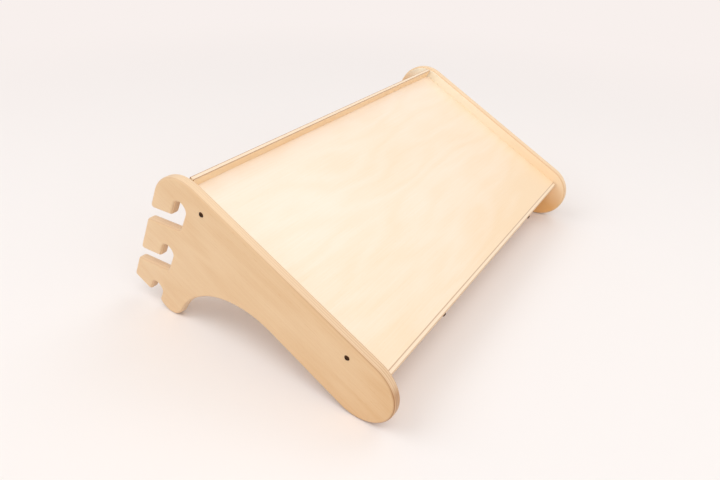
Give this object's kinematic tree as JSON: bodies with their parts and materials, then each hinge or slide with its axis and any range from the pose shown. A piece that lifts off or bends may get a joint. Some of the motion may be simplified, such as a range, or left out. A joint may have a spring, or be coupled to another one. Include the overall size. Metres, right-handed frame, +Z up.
{
  "type": "toddler slide board",
  "caption": "Wide plywood slide board for toddlers: a flat deck between shaped cheeks whose hook slots hang it on the rungs of a climbing frame.",
  "frame": {"origin": "on the floor under the middle of the standing board", "axes": "+X down the board towards its low end, +Y across it to its left side seen from the hook end, +Z up"},
  "size_m": [0.5944, 0.841, 0.3121],
  "materials": {
    "cheek_plywood": "birch plywood, clear satin lacquer",
    "deck_plywood": "birch plywood, clear satin lacquer",
    "rail_plywood": "birch plywood, clear satin lacquer",
    "bolt_steel": "black oxide",
    "nut_steel": "zinc plated"
  },
  "bodies": {
    "root": {"right_cheek": "cheek_plywood", "left_cheek": "cheek_plywood", "deck": "deck_plywood", "back_rail": "rail_plywood", "front_rail": "rail_plywood", "bolt_right_upper": "bolt_steel", "barrel_nut_right_upper": "nut_steel", "bolt_right_lower": "bolt_steel", "barrel_nut_right_lower": "nut_steel", "bolt_back_right": "bolt_steel", "barrel_nut_back_right": "nut_steel", "bolt_front_right": "bolt_steel", "barrel_nut_front_right": "nut_steel", "bolt_left_upper": "bolt_steel", "barrel_nut_left_upper": "nut_steel", "bolt_left_lower": "bolt_steel", "barrel_nut_left_lower": "nut_steel", "bolt_back_left": "bolt_steel", "barrel_nut_back_left": "nut_steel", "bolt_front_left": "bolt_steel", "barrel_nut_front_left": "nut_steel"}
  },
  "joints": []
}
